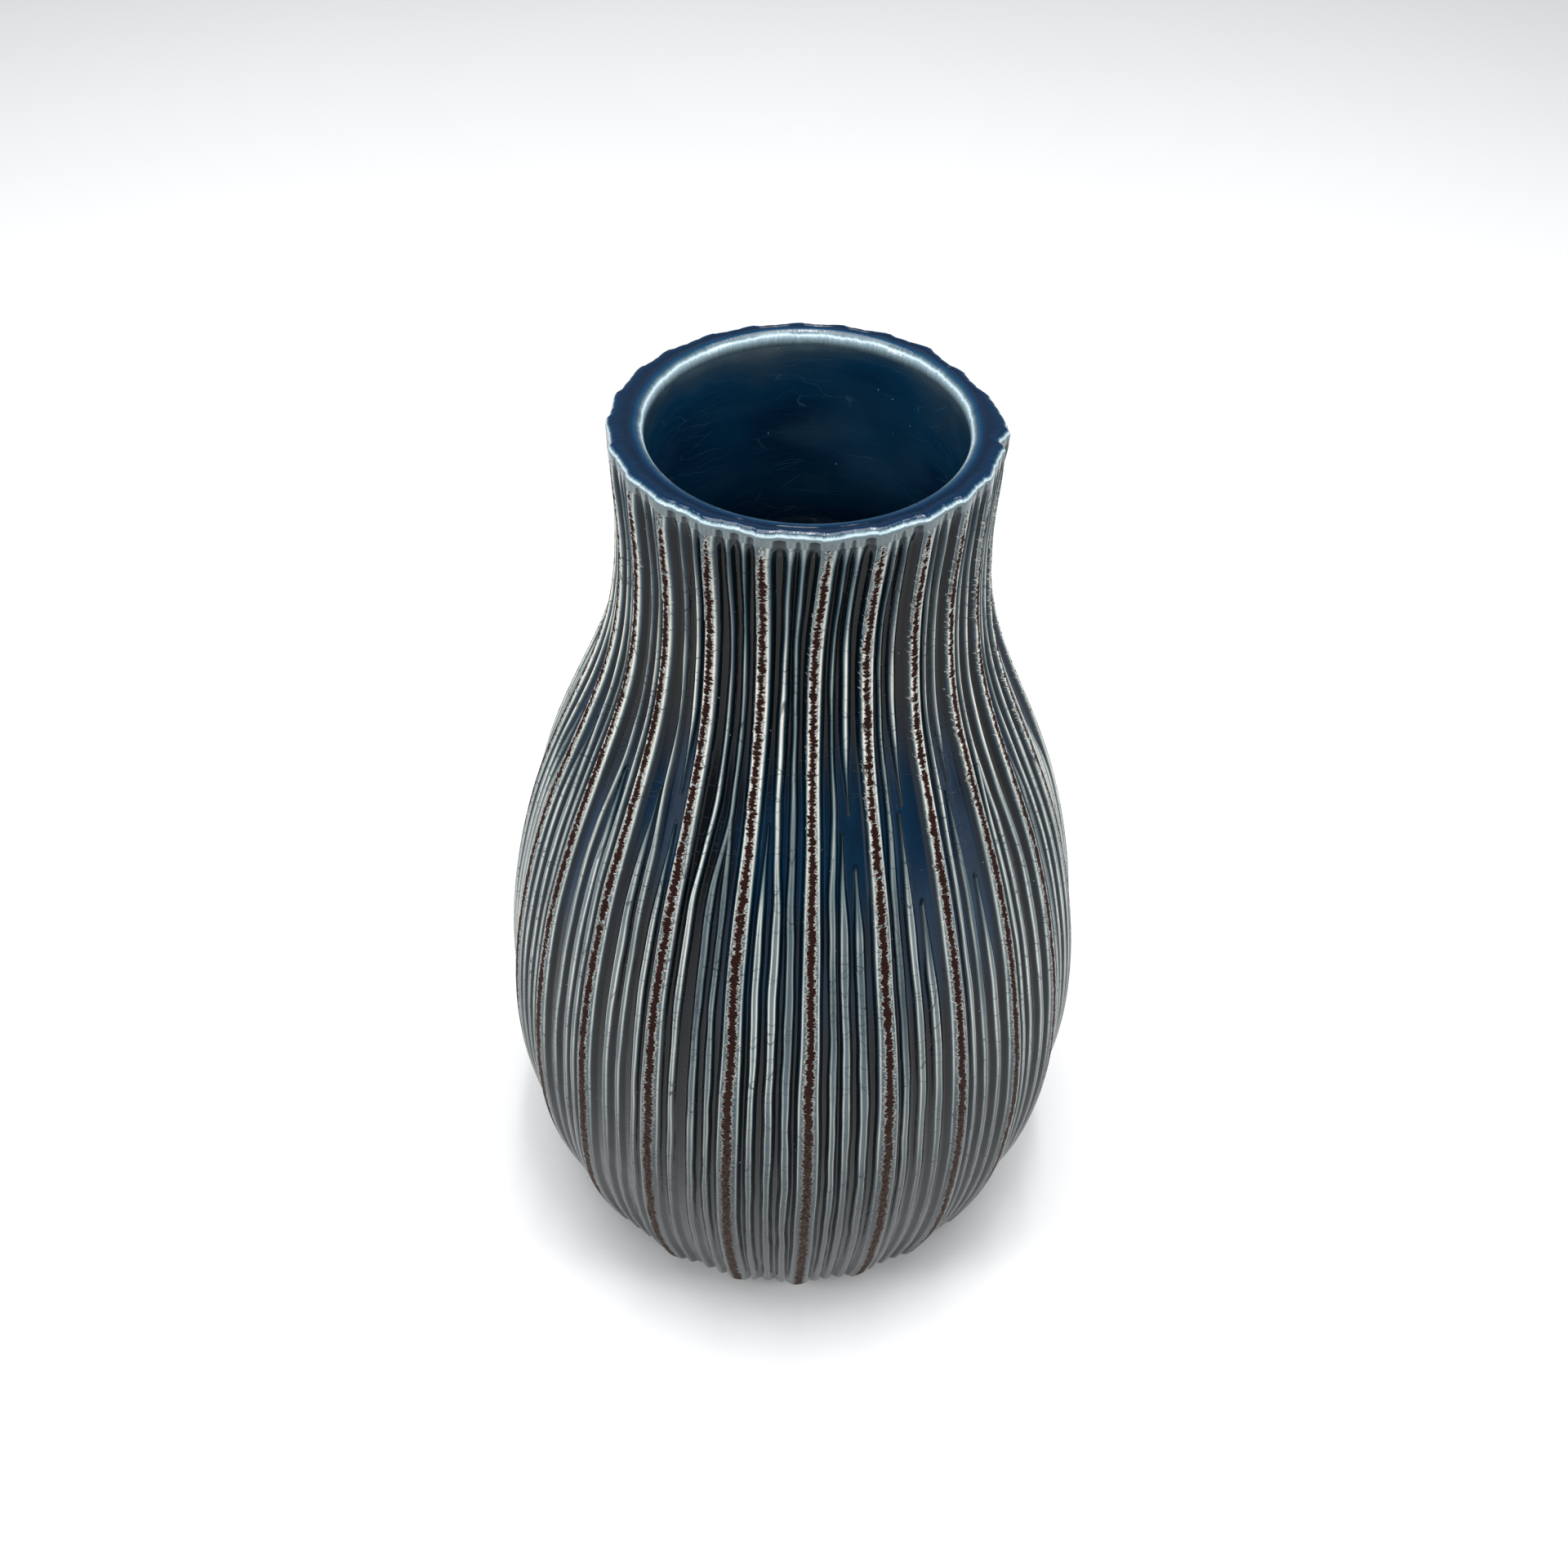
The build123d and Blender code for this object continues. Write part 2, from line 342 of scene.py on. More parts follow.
# ---------------------------------------------------------------- lip, from the outer wall to the inner
# Its place runs from 0 to 1 over the outer round, to 2 over the top, to 3 over the inner round, then down
edge_radius = radius_grid[-1]
edge_angle = angle_grid[-1]
mouth_radius = inside_radius(LIP_SEAM) + oval(edge_angle, LIP_SEAM)
lip_rows, lip_place = [], []
for turn in np.linspace(0, math.pi / 2, 11)[1:]:
    lip_rows.append((
        edge_radius - OUTER_ROUND * (1 - np.cos(turn)),
        HEIGHT - OUTER_ROUND * (1 - np.sin(turn)),
    ))
    lip_place.append(turn / (math.pi / 2))
for share in np.linspace(0, 1, 13)[1:-1]:
    start, end = edge_radius - OUTER_ROUND, mouth_radius + INNER_ROUND
    lip_rows.append((start + (end - start) * share, HEIGHT - LIP_DIP * np.sin(math.pi * share) ** 2))
    lip_place.append(1 + share)
for turn in np.linspace(0, math.pi / 2, 15):
    lip_rows.append((
        mouth_radius + INNER_ROUND * (1 - np.sin(turn)) + 0 * edge_radius,
        HEIGHT - INNER_ROUND * (1 - np.cos(turn)),
    ))
    lip_place.append(2 + turn / (math.pi / 2))
for share in np.linspace(0, 1, 5)[1:]:
    height_here = HEIGHT - INNER_ROUND + (LIP_SEAM - HEIGHT + INNER_ROUND) * share
    lip_rows.append((inside_radius(height_here) + oval(edge_angle, height_here), height_here))
    lip_place.append(3 + share)
lip_over = np.stack([cylinder(radius, edge_angle, height_here) for radius, height_here in lip_rows])

# ---------------------------------------------------------------- underside, from the outer wall inwards
foot_edge = radius_grid[0] - FOOT_BEVEL
under = []
for share in np.linspace(0, 1, 7)[1:]:
    under.append((foot_edge + (RECESS_RADIUS + FOOT_ROUND - foot_edge) * share, 0.0))
for turn in np.linspace(0, math.pi / 2, 6)[1:]:
    under.append((
        RECESS_RADIUS + FOOT_ROUND * (1 - np.sin(turn)) + 0 * foot_edge,
        FOOT_ROUND * (1 - np.cos(turn)),
    ))
drop = RECESS_DEPTH - FOOT_ROUND
for turn in np.linspace(0, math.pi / 2, 6)[1:]:
    under.append((
        RECESS_RADIUS - drop * (1 - np.cos(turn)) + 0 * foot_edge,
        FOOT_ROUND + drop * np.sin(turn),
    ))
for share in np.linspace(0, 1, 26)[1:]:
    under.append((
        (RECESS_RADIUS - drop) * (1 - share) + AXIS_GAP + 0 * foot_edge,
        RECESS_DEPTH + RECESS_RISE * share,
    ))
underside = np.stack([cylinder(radius, angle_grid[0], height_here) for radius, height_here in under])

# Every outside point in one grid, from the middle of the underside to the inner wall of the lip
whole = np.concatenate([underside[::-1], outside, lip_over])


def grid_normals(points):
    """Unit normals of a grid whose columns run right round the vase."""
    along = np.gradient(points, axis=0)
    across = (np.roll(points, -1, axis=1) - np.roll(points, 1, axis=1)) / 2
    normal = np.cross(across, along)
    return normal / np.clip(np.linalg.norm(normal, axis=-1, keepdims=True), 1e-9, None)


whole_normals = grid_normals(whole)
first_outside = len(underside)


def make_mesh(name, points, normals, attributes, closed, body="root"):
    """A mesh from a grid of points in millimetres, with a value at each point for every attribute."""
    count_rows, count_columns = points.shape[:2]
    number = np.arange(count_rows * count_columns).reshape(count_rows, count_columns)
    if closed:
        number = np.concatenate([number, number[:, :1]], axis=1)
    corners = np.stack([number[:-1, :-1], number[:-1, 1:], number[1:, 1:], number[1:, :-1]], axis=-1)
    faces = corners.reshape(-1, 4)
    mesh = bpy.data.meshes.new(name)
    mesh.vertices.add(count_rows * count_columns)
    mesh.vertices.foreach_set("co", (points * MM).reshape(-1).astype(np.float32))
    mesh.loops.add(faces.size)
    mesh.loops.foreach_set("vertex_index", faces.reshape(-1).astype(np.int32))
    mesh.polygons.add(len(faces))
    mesh.polygons.foreach_set("loop_start", np.arange(0, faces.size, 4, dtype=np.int32))
    mesh.update(calc_edges=True)
    for key, values in attributes.items():
        if values.ndim == 3:
            layer = mesh.attributes.new(key, "FLOAT_VECTOR", "POINT")
            layer.data.foreach_set("vector", values.reshape(-1).astype(np.float32))
        else:
            layer = mesh.attributes.new(key, "FLOAT", "POINT")
            layer.data.foreach_set("value", values.reshape(-1).astype(np.float32))
    mesh.validate()
    mesh.polygons.foreach_set("use_smooth", np.ones(len(mesh.polygons), dtype=bool))
    mesh.normals_split_custom_set_from_vertices(normals.reshape(-1, 3).astype(np.float32))
    piece = bpy.data.objects.new(name, mesh)
    bpy.context.collection.objects.link(piece)
    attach(piece, body)
    return piece


def outside_attributes(row_slice, column_list):
    """What the materials read on a block of the outside, chosen by its rows and columns."""
    take = np.ix_(range(*row_slice.indices(rows)), column_list)
    side, z, number = side_grid[take], z_grid[take], (crest_number + 0 * side_grid)[take]
    winding = angle_grid[take]
    return {
        "edge": edge_grid[take],
        "pool": pool_grid[take],
        "faint": faint_grid[take],
        "skin": np.stack([side, z, number], axis=-1),
        "wrap": np.stack([np.sin(winding) * WRAP_RADIUS, -np.cos(winding) * WRAP_RADIUS, z], axis=-1),
        "place": 0 * side,
    }


def over_attributes(points, place, column_list):
    """The same on rows past the outside, over the lip or under the foot."""
    angle = angle_grid[-1][column_list][None, :] + 0 * points[..., 0]
    z = points[..., 2]
    return {
        "edge": 0 * angle - 1.0,
        "pool": 0 * angle,
        "faint": 0 * angle,
        "skin": np.stack([0 * angle + 5, z, 0 * angle], axis=-1),
        "wrap": np.stack([np.sin(angle) * WRAP_RADIUS, -np.cos(angle) * WRAP_RADIUS, z], axis=-1),
        "place": place[:, None] + 0 * angle,
    }


def joined(*parts):
    """The attributes of several blocks of rows, one block above the other."""
    return {key: np.concatenate([part[key] for part in parts]) for key in parts[0]}


# ---------------------------------------------------------------- materials
def srgb(red, green, blue):
    """Linear colour of an 8-bit one."""
    return tuple(
        c / 12.92 if c <= 0.04045 else ((c + 0.055) / 1.055) ** 2.4
        for c in (red / 255, green / 255, blue / 255)
    ) + (1.0,)


class Shader:
    """A material's node tree, with short calls for the nodes used here."""

    def __init__(self, name):
        self.material = bpy.data.materials.new(name)
        self.material.use_nodes = True
        self.tree = self.material.node_tree
        self.surface = self.tree.nodes["Principled BSDF"]

    def node(self, kind, inputs=(), **settings):
        """A new node, with each input set or linked."""
        made = self.tree.nodes.new(kind)
        for key, value in settings.items():
            setattr(made, key, value)
        for key, value in dict(inputs).items():
            self.feed(made.inputs[key], value)
        return made

    def feed(self, socket, value):
        """Link a socket to the input, or set the input's own value."""
        if isinstance(value, bpy.types.NodeSocket):
            self.tree.links.new(value, socket)
        else:
            socket.default_value = value

    def read(self, name, vector=False):
        """An attribute of the mesh."""
        made = self.node("ShaderNodeAttribute", attribute_name=name)
        return made.outputs["Vector" if vector else "Fac"]

    def math(self, operation, a, b=0.0, c=0.0, clamp=False):
        made = self.node("ShaderNodeMath", {0: a, 1: b, 2: c}, operation=operation, use_clamp=clamp)
        return made.outputs[0]

    def ease(self, value, low, high, to_low=0.0, to_high=1.0):
        """An S-curve between to_low, where the value is at low, and to_high, where it is at high."""
        made = self.node("ShaderNodeMapRange", interpolation_type="SMOOTHSTEP")
        for key, item in (
            ("Value", value), ("From Min", low), ("From Max", high),
            ("To Min", to_low), ("To Max", to_high),
        ):
            self.feed(made.inputs[key], item)
        return made.outputs["Result"]

    def scaled(self, vector, scale, offset=(0, 0, 0)):
        """The vector stretched along each axis and moved."""
        made = self.node("ShaderNodeVectorMath", {0: vector, 1: scale, 2: offset}, operation="MULTIPLY_ADD")
        return made.outputs[0]

    def noise(self, vector, scale=1.0, detail=2.0, roughness=0.5, distortion=0.0):
        made = self.node("ShaderNodeTexNoise", {
            "Vector": vector, "Scale": scale, "Detail": detail,
            "Roughness": roughness, "Distortion": distortion,
        })
        return made.outputs["Fac"]

    def cracks(self, vector, scale):
        """Distance from the nearest border between random cells."""
        made = self.node(
            "ShaderNodeTexVoronoi", {"Vector": vector, "Scale": scale, "Randomness": 1.0},
            feature="DISTANCE_TO_EDGE",
        )
        return made.outputs["Distance"]

    def mix(self, share, a, b):
        made = self.node("ShaderNodeMix", data_type="RGBA")
        self.feed(made.inputs[0], share)
        self.feed(made.inputs[6], a)
        self.feed(made.inputs[7], b)
        return made.outputs[2]

    def ramp(self, value, stops):
        """Colour or grey level by value, from (place, colour or level) stops."""
        made = self.node("ShaderNodeValToRGB", {"Fac": value})
        elements = made.color_ramp.elements
        while len(elements) < len(stops):
            elements.new(0.5)
        for element, (place, colour) in zip(elements, stops):
            element.position = place
            element.color = colour if isinstance(colour, tuple) else (colour, colour, colour, 1.0)
        return made.outputs["Color"]

    def grey(self, colour):
        """The one value of a grey colour."""
        return self.node("ShaderNodeSeparateColor", {0: colour}).outputs[0]

    def sway(self, noise, amount, value, clamp=False):
        """The value, moved up where the noise is above its middle and down where it is below it."""
        return self.math("MULTIPLY_ADD", self.math("SUBTRACT", noise, 0.5), amount, value, clamp)

    def along_crest(self, skin, side_scale, height_scale, number_scale):
        """Where to read a noise that differs from crest to crest."""
        side, height, number = skin
        return self.node("ShaderNodeCombineXYZ", {
            0: self.math("MULTIPLY", side, side_scale),
            1: self.math("MULTIPLY", height, height_scale),
            2: self.math("MULTIPLY", number, number_scale),
        }).outputs[0]

    def millimetres(self):
        """The place on the object, in millimetres."""
        return self.scaled(self.node("ShaderNodeTexCoord").outputs["Object"], (1000, 1000, 1000))

    def finish(self, colour, level):
        """Link the colour, and a relief given in millimetres, and return the material."""
        self.feed(self.surface.inputs["Base Color"], colour)
        bump = self.node("ShaderNodeBump", {
            "Height": self.math("MULTIPLY", level, 0.001), "Strength": 1.0, "Distance": 1.0,
        })
        self.feed(self.surface.inputs["Normal"], bump.outputs["Normal"])
        return self.material


RIB_EDGE = 0.6  # where the edge of a rib falls on the ramps over the ribs and grooves

# Glaze by thickness, from a bare edge to a deep pool
GLAZE = [
    (0.00, srgb(250, 244, 234)),
    (0.10, srgb(206, 208, 200)),
    (0.22, srgb(130, 141, 140)),
    (0.34, srgb(82, 97, 104)),
    (0.46, srgb(42, 62, 72)),
    (0.58, srgb(8, 33, 44)),
    (0.72, srgb(1, 16, 24)),
    (0.86, srgb(0, 7, 11)),
    (1.00, srgb(0, 3, 5)),
]
# The same glaze on the lip and inside, where it lies thicker: icy where it breaks over an edge, then navy
DEEP_GLAZE = [
    (0.00, srgb(226, 238, 244)),
    (0.12, srgb(158, 182, 192)),
    (0.24, srgb(112, 134, 142)),
    (0.34, srgb(88, 104, 112)),
    (0.46, srgb(44, 68, 86)),
    (0.58, srgb(10, 54, 84)),
    (0.72, srgb(3, 33, 60)),
    (0.86, srgb(1, 13, 26)),
    (1.00, srgb(2, 6, 12)),
]


def crazing(shader, place):
    """Share of crack at each point, for cracks that run mostly round the vase with slanting ones between."""
    bend = shader.noise(place, 0.35, 2.0)
    bent = shader.node("ShaderNodeVectorMath", {0: place, 1: bend}, operation="ADD").outputs[0]
    level = shader.cracks(shader.scaled(bent, (0.09, 0.09, 0.24)), 1.0)
    slant = shader.cracks(shader.scaled(bent, (0.13, 0.13, 0.10), (7, 3, 1)), 1.0)
    fine = shader.ease(level, 0.021, 0.0)
    loose = shader.math("MULTIPLY", shader.ease(slant, 0.012, 0.0), 0.8)
    broken = shader.ease(shader.noise(place, 0.12, 1.0), 0.40, 0.58)
    return shader.math("MULTIPLY", shader.math("MAXIMUM", fine, loose), broken)


def flute_material(name, refraction):
    """Glaze over the ribs and grooves, with ragged strips of bare clay along the crests."""
    shader = Shader(name)
    edge, pool, place = shader.read("edge"), shader.read("pool"), shader.read("place")
    faint = shader.read("faint")
    skin, wrap = shader.read("skin", True), shader.read("wrap", True)
    skin = shader.node("ShaderNodeSeparateXYZ", {0: skin}).outputs
    side, height, number = skin
    body = shader.ease(height, 138.0, 104.0)  # 0 on the neck, 1 on the body
    # The low mask sets where painted shade darkens the body toward the foot
    low = shader.ease(height, 92.0, 30.0)  # 1 near the foot

    # Ragged outline of the bare strip: inside is over 0 on bare clay, and the halo is the thin glaze round it
    teeth = shader.noise(shader.along_crest(skin, 0.8, 2.3, 7.31), 1.0, 5.0, 0.78)
    lobes = shader.noise(shader.along_crest(skin, 0.5, 0.55, 3.77), 1.0, 2.0)
    drift_at = shader.node("ShaderNodeCombineXYZ", {
        1: shader.math("MULTIPLY", height, 0.06), 2: shader.math("MULTIPLY", number, 5.13),
    }).outputs[0]
    drift = shader.noise(drift_at, 1.0, 1.0)
    half_width = shader.ease(body, 0.0, 1.0, 0.52, 0.68)
    reach = shader.math("ADD", half_width, shader.ease(height, 100.0, 60.0, 0.0, 0.18))
    reach = shader.sway(teeth, 3.1, reach)
    reach = shader.sway(lobes, 0.75, reach)
    reach = shader.math("SUBTRACT", reach, shader.ease(height, 169.0, 177.0, 0.0, 0.50))
    off_centre = shader.math("ABSOLUTE", shader.sway(drift, 0.5, side))
    inside = shader.math("SUBTRACT", reach, off_centre)
    bridge_noise = shader.noise(shader.along_crest(skin, 0.35, 1.5, 9.7), 1.0, 3.0, 0.7)
    bridge = shader.ease(bridge_noise, 0.63, 0.67)
    more = shader.ease(shader.noise(drift_at, 2.3, 0.0), 0.45, 0.62, 0.25, 1.0)
    inside = shader.math("SUBTRACT", inside, shader.math("MULTIPLY", bridge, more))
    inside = shader.math("SUBTRACT", inside, shader.math("MULTIPLY", place, 9.0))
    bare = shader.ease(inside, -0.03, 0.05)
    halo = shader.ease(inside, -0.23, -0.03)

    # Thickness of the glaze: thin on the ribs and thinnest at their edges, thick in the grooves
    near_lip = shader.ease(height, 150.0, 176.0)
    edge_scale = shader.math("MULTIPLY_ADD", near_lip, -0.2, 0.5)
    at = shader.math("MULTIPLY_ADD", edge, edge_scale, RIB_EDGE, clamp=True)
    neck_glaze = shader.ramp(at, [
        (0.00, 0.22), (0.25, 0.24), (0.38, 0.05), (0.43, 0.07), (0.49, 0.22),
        (0.55, 0.38), (0.61, 0.56), (0.68, 0.78), (0.77, 0.95), (1.00, 1.00),
    ])
    body_glaze = shader.ramp(at, [
        (0.00, 0.27), (0.22, 0.32), (0.36, 0.29), (0.43, 0.13), (0.48, 0.07), (0.53, 0.26),
        (0.59, 0.52), (0.66, 0.78), (0.75, 0.97), (1.00, 1.00),
    ])
    thickness = shader.grey(shader.mix(body, neck_glaze, body_glaze))
    streak = shader.noise(shader.scaled(wrap, (2.2, 2.2, 0.10)), 1.0, 3.0, 0.6)
    cloud = shader.noise(wrap, 0.07, 2.0)
    thickness = shader.sway(streak, 0.14, thickness)
    thickness = shader.sway(cloud, 0.12, thickness)
    thickness = shader.math("MULTIPLY_ADD", near_lip, 0.10, thickness)
    beside = shader.math("MULTIPLY", shader.ease(shader.math("ABSOLUTE", side), 2.0, 1.0), body)
    thickness = shader.math("MULTIPLY_ADD", beside, 0.05, thickness)
    faint_share = shader.math("MULTIPLY", faint, shader.ease(edge, 0.30, -0.05))
    thickness = shader.math("MULTIPLY_ADD", faint_share, 0.26, thickness)
    lip_fade = shader.math("MULTIPLY", shader.ease(height, 170.0, 178.0), shader.ease(edge, -0.1, 0.4))
    thickness = shader.math("MULTIPLY_ADD", lip_fade, -0.30, thickness)
    # Painted shade: the glaze is set thicker toward the foot so that the lower ribs come out darker
    thickness = shader.math("MULTIPLY_ADD", low, 0.08, thickness)
    blue_zone = shader.math("MULTIPLY", shader.ease(height, 84.0, 104.0), shader.ease(height, 146.0, 126.0))
    blue_patch = shader.ease(shader.noise(wrap, 0.035, 1.0), 0.36, 0.62)
    blue_zone = shader.math("MULTIPLY", blue_zone, blue_patch)
    blue_zone = shader.math("MULTIPLY", blue_zone, shader.ease(edge, 0.1, 0.45))
    thickness = shader.math("MULTIPLY_ADD", blue_zone, -0.12, thickness)
    pool_share = shader.math("MULTIPLY", pool, shader.ease(edge, -0.2, 0.5))
    thickness = shader.math("MULTIPLY_ADD", pool_share, -0.26, thickness)
    thickness = shader.math("MULTIPLY", thickness, shader.math("SUBTRACT", 1.0, halo), clamp=True)
    colour = shader.ramp(thickness, GLAZE)

    # Painted shade low down: the ribs darken and the grooves grey toward one dark tone nearer the foot. Then
    # a clearer blue on the shoulder
    # Painted shade: a dark grey mixed in more strongly toward the foot, darker on the ribs than in the
    # grooves
    low_painted_shade = shader.math("MULTIPLY", low, shader.ease(edge, 0.5, -0.2, 0.3, 0.82))
    colour = shader.mix(low_painted_shade, colour, srgb(30, 38, 42))
    blue = shader.math("MULTIPLY", shader.math("MAXIMUM", blue_zone, pool_share), 0.6)
    blue = shader.math("MULTIPLY", blue, shader.ease(thickness, 0.4, 0.62))
    colour = shader.mix(blue, colour, srgb(0, 44, 74))

    # Cracks and specks
    crack = crazing(shader, shader.millimetres())
    colour = shader.mix(shader.math("MULTIPLY", crack, 0.80), colour, srgb(8, 24, 38))
    dash = shader.ease(shader.noise(shader.scaled(wrap, (1.4, 1.4, 3.2)), 1.0, 2.0, 0.7), 0.70, 0.76)
    dash = shader.math("MULTIPLY", dash, shader.ease(edge, 0.0, -0.15))
    colour = shader.mix(shader.math("MULTIPLY", dash, 0.5), colour, srgb(58, 66, 70))
    speck = shader.ease(shader.noise(wrap, 1.9, 1.0), 0.80, 0.83)
    colour = shader.mix(shader.math("MULTIPLY", speck, 0.6), colour, srgb(190, 200, 205))

    # Bare clay
    grain = shader.noise(wrap, 3.2, 4.0, 0.7)
    clay = shader.ramp(grain, [
        (0.25, srgb(12, 4, 2)), (0.45, srgb(30, 10, 6)),
        (0.60, srgb(42, 17, 11)), (0.80, srgb(76, 43, 32)),
    ])
    scuffs = shader.noise(shader.scaled(wrap, (2.6, 2.6, 1.3)), 1.0, 4.0, 0.75, 1.2)
    worn_low = shader.ease(height, 92.0, 34.0, 0.0, 0.95)
    worn = shader.math("MULTIPLY", worn_low, shader.ease(scuffs, 0.42, 0.62))
    clay = shader.mix(worn, clay, srgb(84, 74, 66))
    colour = shader.mix(bare, colour, clay)
    shader.feed(shader.surface.inputs["Roughness"], shader.ease(bare, 0.0, 1.0, 0.11, 0.85))
    shader.surface.inputs["IOR"].default_value = refraction

    # Relief: the coat's broken edge, rough clay, and a slow swell of the glaze
    level = shader.math("MULTIPLY", bare, -0.11)
    level = shader.math("MULTIPLY_ADD", shader.math("MULTIPLY", grain, bare), 0.05, level)
    swell = shader.noise(shader.scaled(wrap, (0.8, 0.8, 0.12)), 1.0, 2.0)
    level = shader.math("MULTIPLY_ADD", swell, 0.05, level)
    level = shader.math("MULTIPLY_ADD", crack, -0.012, level)
    return shader.finish(colour, level)


def lip_material():
    """Glaze over the lip: thin and pale on the two rounded edges, thick and blue on the top between them."""
    shader = Shader("lip glaze over stoneware")
    edge, place = shader.read("edge"), shader.read("place")
    wrap = shader.read("wrap", True)
    streak = shader.noise(shader.scaled(wrap, (1.3, 1.3, 0.6)), 1.0, 3.0, 0.65)
    cloud = shader.noise(wrap, 0.12, 2.0)
    moved = shader.sway(streak, 0.22, place)
    moved = shader.sway(cloud, 0.25, moved)
    over = shader.ramp(shader.math("MULTIPLY", moved, 0.25, clamp=True), [
        (0.00, 0.40), (0.045, 0.28), (0.08, 0.05), (0.11, 0.14), (0.14, 0.38), (0.18, 0.70),
        (0.42, 0.80), (0.50, 0.72), (0.57, 0.50), (0.615, 0.26), (0.64, 0.07), (0.655, 0.05),
        (0.68, 0.14), (0.75, 0.22), (0.85, 0.32), (1.00, 0.44),
    ])
    at = shader.math("MULTIPLY_ADD", edge, 0.5, RIB_EDGE, clamp=True)
    wall = shader.ramp(at, [
        (0.00, 0.30), (0.30, 0.29), (0.44, 0.24), (0.54, 0.38),
        (0.62, 0.52), (0.70, 0.62), (0.82, 0.68), (1.00, 0.70),
    ])
    on_top = shader.ease(place, 0.02, 0.3)
    thickness = shader.sway(streak, 0.10, shader.grey(shader.mix(on_top, wall, over)), clamp=True)
    colour = shader.mix(on_top, shader.ramp(thickness, GLAZE), shader.ramp(thickness, DEEP_GLAZE))
    crack = crazing(shader, shader.millimetres())
    colour = shader.mix(shader.math("MULTIPLY", crack, 0.25), colour, srgb(16, 38, 54))
    shader.surface.inputs["Roughness"].default_value = 0.1
    shader.surface.inputs["IOR"].default_value = 1.42
    level = shader.math("MULTIPLY_ADD", crack, -0.012, shader.math("MULTIPLY", cloud, 0.12))
    level = shader.math("MULTIPLY_ADD", shader.noise(wrap, 1.6, 2.0), 0.035, level)
    return shader.finish(colour, level)


def inside_material():
    """Dark blue glaze inside, paler just under the lip, with soft clouds that partly stand for painted
    reflections, pale painted sheen patches on the upper wall, and fine cracks that run round.
    """
    shader = Shader("inner glaze")
    place = shader.read("place")
    wrap = shader.read("wrap", True)
    cloud = shader.noise(shader.scaled(wrap, (0.05, 0.05, 0.07)), 1.0, 3.0)
    streak = shader.noise(shader.scaled(wrap, (0.25, 0.25, 1.2)), 1.0, 3.0, 0.6)
    thickness = shader.grey(shader.ramp(shader.math("MULTIPLY", place, 0.05, clamp=True), [
        (0.00, 0.40), (0.05, 0.45), (0.10, 0.50), (0.20, 0.55), (0.5, 0.59), (1.0, 0.62),
    ]))
    # Broad soft patches of thinner and thicker glaze: partly real glaze variation, partly painted reflections
    # of the room on the inside wall
    thickness = shader.sway(cloud, 0.42, thickness)
    thickness = shader.sway(streak, 0.05, thickness, clamp=True)
    colour = shader.ramp(thickness, DEEP_GLAZE)
    # Painted sheen: pale blue patches on the upper inside wall, standing in for soft reflections of the room
    # in the glaze
    painted_sheen = shader.ease(shader.noise(shader.scaled(wrap, (0.045, 0.045, 0.08)), 1.0, 1.0), 0.50, 0.70)
    painted_sheen = shader.math("MULTIPLY", painted_sheen, shader.ease(place, 3.0, 14.0))
    painted_sheen = shader.math("MULTIPLY", painted_sheen, shader.ease(place, 36.0, 16.0, 0.0, 0.30))
    colour = shader.mix(painted_sheen, colour, srgb(58, 98, 126))
    spot = shader.millimetres()
    bend = shader.noise(spot, 0.12, 2.0)
    bent = shader.node("ShaderNodeVectorMath", {
        0: spot, 1: shader.scaled(bend, (9, 9, 5)),
    }, operation="ADD").outputs[0]
    crack = shader.ease(shader.cracks(shader.scaled(bent, (0.05, 0.05, 0.42)), 1.0), 0.014, 0.0)
    broken = shader.ease(shader.noise(spot, 0.10, 1.0), 0.38, 0.56)
    crack = shader.math("MULTIPLY", crack, broken)
    colour = shader.mix(shader.math("MULTIPLY", crack, 0.5), colour, srgb(60, 96, 112))
    speck = shader.ease(shader.noise(spot, 1.3, 1.0), 0.80, 0.83)
    colour = shader.mix(shader.math("MULTIPLY", speck, 0.6), colour, srgb(190, 205, 210))
    shader.surface.inputs["Roughness"].default_value = 0.09
    level = shader.math("MULTIPLY_ADD", crack, -0.01, shader.math("MULTIPLY", cloud, 0.5))
    return shader.finish(colour, level)


glaze_skin = flute_material("flute glaze over stoneware", 1.33)
clay_skin = flute_material("bare stoneware", 1.22)
lip_skin = lip_material()
inner_skin = inside_material()

# ---------------------------------------------------------------- pieces
glaze_slice = slice(FOOT_ROWS, FOOT_ROWS + ROWS)
for index in range(COUNT):
    first = index * CELLS + STRIP_CELLS
    column_list = [column % columns for column in range(first, first + FIELD_CELLS + 1)]
    take = np.ix_(range(first_outside + FOOT_ROWS, first_outside + FOOT_ROWS + ROWS), column_list)
    piece = make_mesh(
        f"flute_field_{index + 1:02d}", whole[take], whole_normals[take],
        outside_attributes(glaze_slice, column_list), closed=False,
    )
    piece.data.materials.append(glaze_skin)
    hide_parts(f"glaze_panel_{index + 1:02d}")

